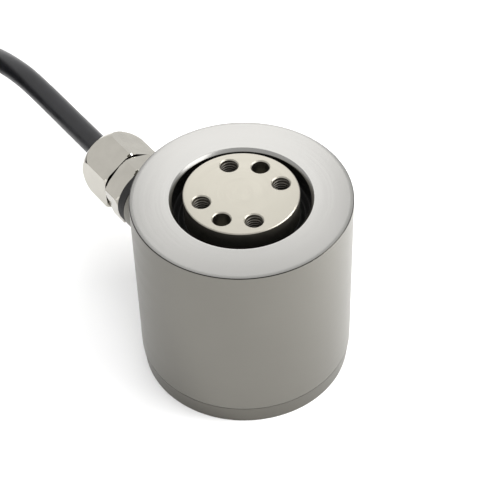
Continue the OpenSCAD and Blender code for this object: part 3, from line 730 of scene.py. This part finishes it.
foil = plain_stuff("foil", (0.40, 0.20, 0.05), (0.52, 0.28, 0.08), 0.35, scale=900.0, relief=0.05)
enamel = plain_stuff("enamel", (0.32, 0.08, 0.03), (0.42, 0.12, 0.05), 0.25, scale=900.0, relief=0.03)
blue_wire = plain_stuff("blue_wire", (0.02, 0.07, 0.22), (0.03, 0.10, 0.30), 0.4, scale=700.0, relief=0.05)
board_green = plain_stuff("board_green", (0.015, 0.09, 0.04), (0.025, 0.13, 0.06), 0.25,
                          scale=300.0, relief=0.08)
brass = plated_metal("brass", (0.62, 0.44, 0.14), (0.74, 0.55, 0.20), 0.25)
component = plain_stuff("component", (0.010, 0.010, 0.011), (0.02, 0.02, 0.022), 0.45)
claw_grey = plain_stuff("claw_grey", (0.03, 0.03, 0.033), (0.045, 0.045, 0.05), 0.5)
bare_core = plain_stuff("bare_core", (0.42, 0.40, 0.36), (0.52, 0.50, 0.45), 0.4)

NODE_FINISHES = {
    "base_flange": band_steel, "sensing_element": disc_steel, "bottom_cover": band_steel,
    "sleeve_o_ring": dark_rubber, "cover_gasket": dark_rubber, "gland_seal": dark_rubber,
    "element_screws": screw_steel, "cover_screws": screw_steel, "overload_stop": screw_steel,
    "board_screws": screw_steel, "gauges_vertical": foil, "gauges_lateral_x": foil,
    "gauges_lateral_y": foil, "terminal_pads": foil, "gauge_leads": enamel,
    "harness_wires": blue_wire, "junction_board": board_green, "board_standoffs": brass,
    "board_resistors": component, "core_wires": bare_core, "gland_claw": claw_grey,
    "cable_inner": jacket,
}
GLAND_FINISHES = {
    # The boss takes the side wall's darker steel, with its painted shade.
    "cable_boss": (shaded_wall_steel, "steel"),
    "gland_washer": (dark_rubber, "black_rubber"),
    "gland_body": (nickel, "nickel"),
    "gland_cap_nut": (nickel, "nickel"),
}


# The object

# How far a face on the outside looks upwards: less than the first is wall, less than the second edge. The
# wall gets painted shade and the edge a painted dark reflection
WALL_UPWARD, EDGE_UPWARD = 0.3, 0.98


def dress_sleeve(sleeve):
    """Bright steel on the top ring and in the mouth; darker on the side wall, which is painted shade, and
    darkest on the narrow rounded edge between them, which is a painted dark reflection."""
    dress(sleeve, ring_steel, shaded_wall_steel, edge_dark_reflection_steel)
    faces = sleeve.data.polygons
    upward = np.array([face.normal.z for face in faces])
    reach = np.array([math.hypot(face.center.x, face.center.y) for face in faces]) / MM
    # Wall faces get the painted shade, edge faces the painted dark reflection.
    outside = reach > BODY_R - OUTER_CHAMFER
    wall, edge = outside & (upward < WALL_UPWARD), outside & (upward < EDGE_UPWARD)
    faces.foreach_set("material_index", np.where(wall, 1, np.where(edge, 2, 0)).astype(np.int32))


sleeve_shell = build_sleeve()
dress_sleeve(sleeve_shell)
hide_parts("housing_sleeve")

gap_ring = build_gap_seal()
dress(gap_ring, dark_rubber)
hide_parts("gap_seal")

threads = []
for number, degrees in enumerate(THREAD_ANGLES):
    angle = math.radians(degrees)
    ridge = thread_ridge(f"load_thread_{number}", LOAD_CIRCLE_R * math.cos(angle),
                         LOAD_CIRCLE_R * math.sin(angle))
    dress(ridge, thread_shaded_steel)
    threads.append(ridge)

gland = build_gland()
for node, piece in gland.items():
    finish, slot = GLAND_FINISHES[node]
    dress(piece, finish)
    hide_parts(node)

dress(lead, jacket)
dress(strap, woven)
dress(sleeve_tube, shrink)
for core, (colour_name, colour) in zip(core_tubes, CORE_COLOURS.items()):
    dress(core, plain_stuff(f"core_{colour_name}", shade(colour, 0.88), colour, 0.38,
                            scale=500.0, relief=0.05))
for tip in core_tips:
    dress(tip, tinned)

for node, finish in NODE_FINISHES.items():
    dress_node(node, finish)

for piece in [sleeve_shell, gap_ring, lead, strap, sleeve_tube,
              *threads, *gland.values(), *core_tubes, *core_tips]:
    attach(piece, "root")


# Floor, background and light

def white_to_eyes(nodes, links, plain, output):
    """What the camera, mirrors and glass see is plain white; other rays get the plain shader."""
    path = nodes.new("ShaderNodeLightPath")
    seen = math_node(nodes, links, "MAXIMUM", path.outputs["Is Camera Ray"], path.outputs["Is Glossy Ray"])
    seen = math_node(nodes, links, "MAXIMUM", seen, path.outputs["Is Transmission Ray"])
    white = nodes.new("ShaderNodeBackground")
    white.inputs["Strength"].default_value = 1.0
    white.inputs["Color"].default_value = (1, 1, 1, 1)
    mix = nodes.new("ShaderNodeMixShader")
    links.new(seen, mix.inputs[0])
    links.new(plain, mix.inputs[1])
    links.new(white.outputs[0], mix.inputs[2])
    links.new(mix.outputs[0], output)


def build_world():
    """A plain even sky, which the eye sees as white."""
    world = bpy.data.worlds.new("studio")
    bpy.context.scene.world = world
    world.use_nodes = True
    nodes, links = world.node_tree.nodes, world.node_tree.links
    sky = nodes["Background"]
    sky.inputs["Color"].default_value = (1, 1, 1, 1)
    sky.inputs["Strength"].default_value = SKY_STRENGTH
    white_to_eyes(nodes, links, sky.outputs[0], nodes["World Output"].inputs["Surface"])


def build_floor():
    """A pale floor, which keeps the object's shadow."""
    h = FLOOR_HALF
    corners = [(-h, -h, 0), (h, -h, 0), (h, h, 0), (-h, h, 0)]
    floor = mesh_object("floor", corners, [[0, 1, 2, 3]], smooth=False)
    dress(floor, material("pale_floor", (0.93, 0.93, 0.93), 0.0, 0.9)[0])


def add_lamp(name, place, aim, side, power):
    """A square softbox at a place in millimetres, turned to face its aim."""
    data = bpy.data.lights.new(name, "AREA")
    data.size = side
    data.energy = power
    lamp = bpy.data.objects.new(name, data)
    bpy.context.scene.collection.objects.link(lamp)
    lamp.location = Vector(place) * MM
    lamp.rotation_euler = (Vector(aim) - Vector(place)).to_track_quat("-Z", "Y").to_euler()


build_world()
build_floor()
for lamp_name, settings in LAMPS.items():
    add_lamp(lamp_name, *settings)

bpy.context.scene.view_settings.view_transform = "Standard"
